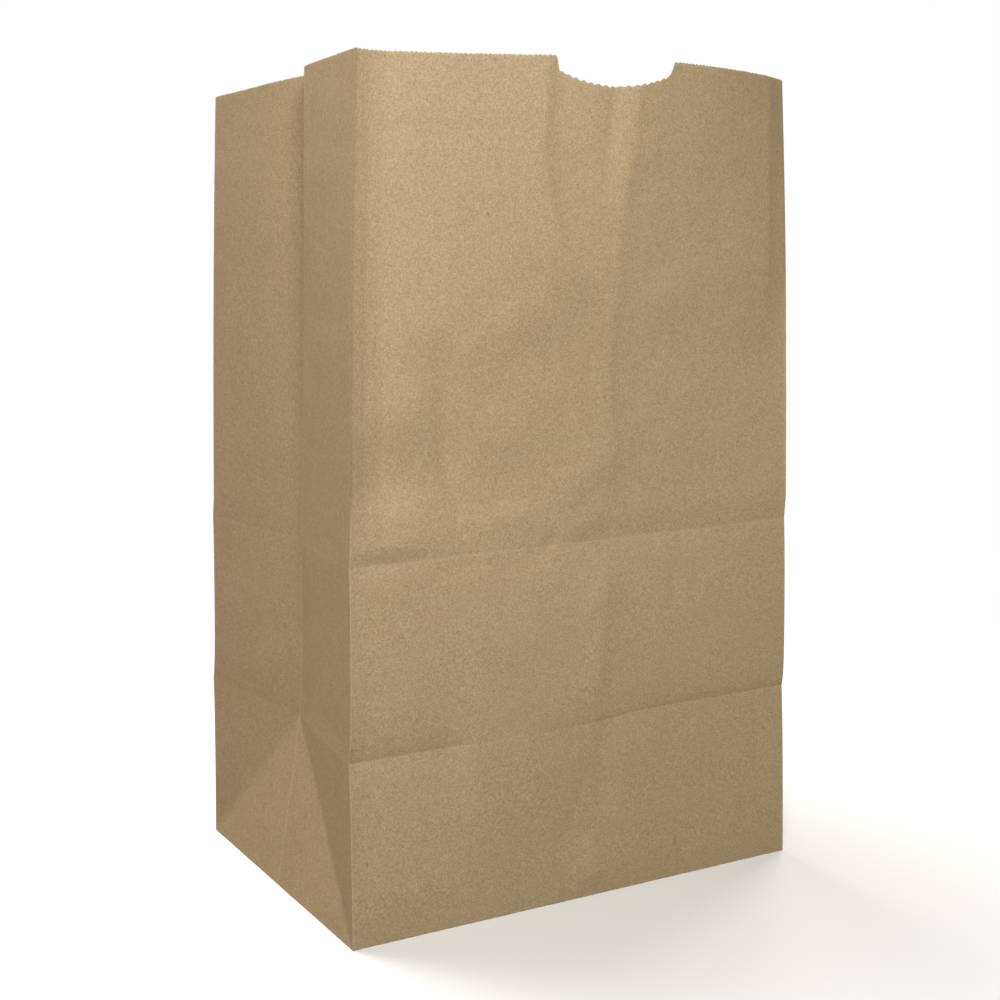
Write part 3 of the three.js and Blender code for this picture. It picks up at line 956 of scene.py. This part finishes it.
def make_kraft():
    """Unbleached kraft: an uneven brown with a fine grain, pale upright fibres and dark specks."""
    material = bpy.data.materials.new("brown_kraft")
    nodes = Nodes(material)
    place = nodes.add("ShaderNodeTexCoord").outputs["Object"]
    wear_and_highlight = nodes.add("ShaderNodeAttribute", attribute_name="wear_and_highlight").outputs["Fac"]
    upright = nodes.stretched(place, 1, 1, FIBRE_STRETCH)

    clouds = nodes.remap(nodes.noise(place, *CLOUDS), *NOISE_RANGE, *CLOUD_TONES)
    mottle = nodes.remap(nodes.noise(place, *MOTTLE), *NOISE_RANGE, *MOTTLE_TONES)
    grain = nodes.noise(place, *GRAIN)
    grain_tone = nodes.remap(grain, *NOISE_RANGE, *GRAIN_TONES)
    fibres = nodes.noise(upright, *FIBRES)
    fibre_tone = nodes.remap(fibres, *NOISE_RANGE, *FIBRE_TONES)
    tone = nodes.maths("MULTIPLY", clouds, mottle)
    tone = nodes.maths("MULTIPLY", tone, grain_tone)
    tone = nodes.maths("MULTIPLY", tone, fibre_tone)

    tinted = nodes.add("ShaderNodeCombineColor", {
        "Red": tone,
        "Green": nodes.maths("POWER", tone, GREEN_POWER),
        "Blue": nodes.maths("POWER", tone, BLUE_POWER),
    }).outputs["Color"]
    color = nodes.mix(1.0, KRAFT, tinted, "MULTIPLY")
    pale = nodes.remap(nodes.noise(upright, *PALE_FIBRES), *PALE_FIBRE_RANGE, *PALE_FIBRE_SHOWS)
    color = nodes.mix(pale, color, PALE_FIBRE)
    specks = nodes.remap(nodes.noise(place, *SPECKS), *SPECK_RANGE, *SPECK_SHOWS)
    color = nodes.mix(specks, color, SPECK)
    # Folds, lines and the cut edge are paled by the value stored on each vertex: wear, and on the
    # folds and lines also a painted highlight
    worn_and_highlit = nodes.maths("MULTIPLY", wear_and_highlight, nodes.remap(grain, *NOISE_RANGE, *GRAIN_WEAR_AND_HIGHLIGHT))
    color = nodes.mix(worn_and_highlit, color, WORN_AND_HIGHLIT_KRAFT)

    surface = nodes.maths("ADD", grain, nodes.maths("MULTIPLY", fibres, FIBRE_RELIEF))
    bump = nodes.add("ShaderNodeBump", {
        "Height": surface, "Strength": BUMP_STRENGTH, "Distance": BUMP_DISTANCE,
    }).outputs["Normal"]
    shader = nodes.add("ShaderNodeBsdfPrincipled", {
        "Base Color": color,
        "Roughness": nodes.remap(grain, *NOISE_RANGE, *GRAIN_ROUGHNESS),
        "Specular IOR Level": SHINE,
        "Normal": bump,
    })
    nodes.finish(shader.outputs["BSDF"])
    return material


# Stage, light and camera

FLOOR_SIZE = 8.0
FLOOR_COLOR = (0.95, 0.95, 0.95, 1.0)
FLOOR_BOUNCE_COLOR = (0.2, 0.185, 0.155, 1.0)
FLOOR_FADE = (0.15, 0.6)
WHITE = (1.0, 1.0, 1.0, 1.0)
AMBIENT = 0.155
AMBIENT_COLOR = (1.1, 0.92, 0.68, 1.0)
KEY_COLOR = (0.97, 1.0, 1.03)
BACK_COLOR = (1.03, 1.0, 0.95)
LAMP_TARGET = Vector((0, 0, 0.2))


def make_floor():
    """A pale floor, which fades to plain white away from the bag."""
    half = FLOOR_SIZE / 2
    mesh = bpy.data.meshes.new("floor")
    corners = [(-half, -half, 0), (half, -half, 0), (half, half, 0), (-half, half, 0)]
    mesh.from_pydata(corners, [], [(0, 1, 2, 3)])
    floor = bpy.data.objects.new("floor", mesh)
    bpy.context.scene.collection.objects.link(floor)
    material = bpy.data.materials.new("pale_floor")
    nodes = Nodes(material)
    place = nodes.add("ShaderNodeTexCoord").outputs["Object"]
    distance = nodes.add("ShaderNodeVectorMath", {0: place}, operation="LENGTH").outputs["Value"]
    fade = nodes.remap(distance, *FLOOR_FADE)
    camera_ray = nodes.add("ShaderNodeLightPath").outputs["Is Camera Ray"]
    seen_fade = nodes.maths("MULTIPLY", fade, camera_ray)
    shade = nodes.mix(camera_ray, FLOOR_BOUNCE_COLOR, FLOOR_COLOR)
    matt = nodes.add("ShaderNodeBsdfDiffuse", {"Color": shade}).outputs["BSDF"]
    white = nodes.add("ShaderNodeEmission", {"Strength": 1.0}).outputs["Emission"]
    mixed = nodes.add("ShaderNodeMixShader", {0: seen_fade, 1: matt, 2: white})
    nodes.finish(mixed.outputs["Shader"])
    mesh.materials.append(material)


def make_world():
    """Even light from all round, with a white background behind the bag."""
    world = bpy.data.worlds.new("studio")
    nodes = Nodes(world)
    path = nodes.add("ShaderNodeLightPath")
    seen = nodes.maths("MAXIMUM", path.outputs["Is Camera Ray"], path.outputs["Is Glossy Ray"])
    seen = nodes.maths("MAXIMUM", seen, path.outputs["Is Transmission Ray"])
    strength = nodes.remap(seen, 0, 1, AMBIENT, 1.0)
    color = nodes.mix(seen, AMBIENT_COLOR, WHITE)
    shade = nodes.add("ShaderNodeBackground", {"Color": color, "Strength": strength})
    nodes.add("ShaderNodeOutputWorld", {"Surface": shade.outputs["Background"]})
    bpy.context.scene.world = world


def make_lamp(name, place, size, power, color):
    """A square lamp that points at the bag. Sizes and places are in metres."""
    lamp = bpy.data.lights.new(name, "AREA")
    lamp.color = color
    lamp.size = size
    lamp.energy = power
    made = bpy.data.objects.new(name, lamp)
    made.location = place
    heading = LAMP_TARGET - Vector(place)
    made.rotation_euler = heading.to_track_quat("-Z", "Y").to_euler()
    bpy.context.scene.collection.objects.link(made)


# The camera's place and angles, which were solved from the photograph's edges and corners
CAMERA_PLACE = Vector((-347.7, -608.1, 257.6)) * MM
CAMERA_YAW = 0.5231
CAMERA_PITCH = 0.0691
FOCAL_SHARE = 1.579
SHIFT_UP = -0.12
CLIP_START = 0.01


def make_camera():
    camera = bpy.data.cameras.new("camera")
    camera.lens = camera.sensor_width * FOCAL_SHARE
    camera.shift_y = SHIFT_UP
    camera.clip_start = CLIP_START
    made = bpy.data.objects.new("camera", camera)
    made.location = CAMERA_PLACE
    heading = Vector((
        math.sin(CAMERA_YAW) * math.cos(CAMERA_PITCH),
        math.cos(CAMERA_YAW) * math.cos(CAMERA_PITCH),
        -math.sin(CAMERA_PITCH),
    ))
    made.rotation_euler = heading.to_track_quat("-Z", "Y").to_euler()
    bpy.context.scene.collection.objects.link(made)
    bpy.context.scene.camera = made


bag = make_bag().to_object("kraft_bag")
bag.data.materials.append(make_kraft())
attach(bag, "root")
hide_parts("paper_bag")

make_floor()
make_world()
make_lamp("key", place=(-0.36, -0.76, 0.72), size=0.4, power=8.6, color=KEY_COLOR)
make_lamp("high_back", place=(-0.35, 0.97, 1.43), size=1.2, power=30.0, color=BACK_COLOR)
make_lamp("right_fill", place=(1.2, 0.8, 0.9), size=0.8, power=12.0, color=BACK_COLOR)
make_camera()
bpy.context.scene.view_settings.view_transform = "Standard"
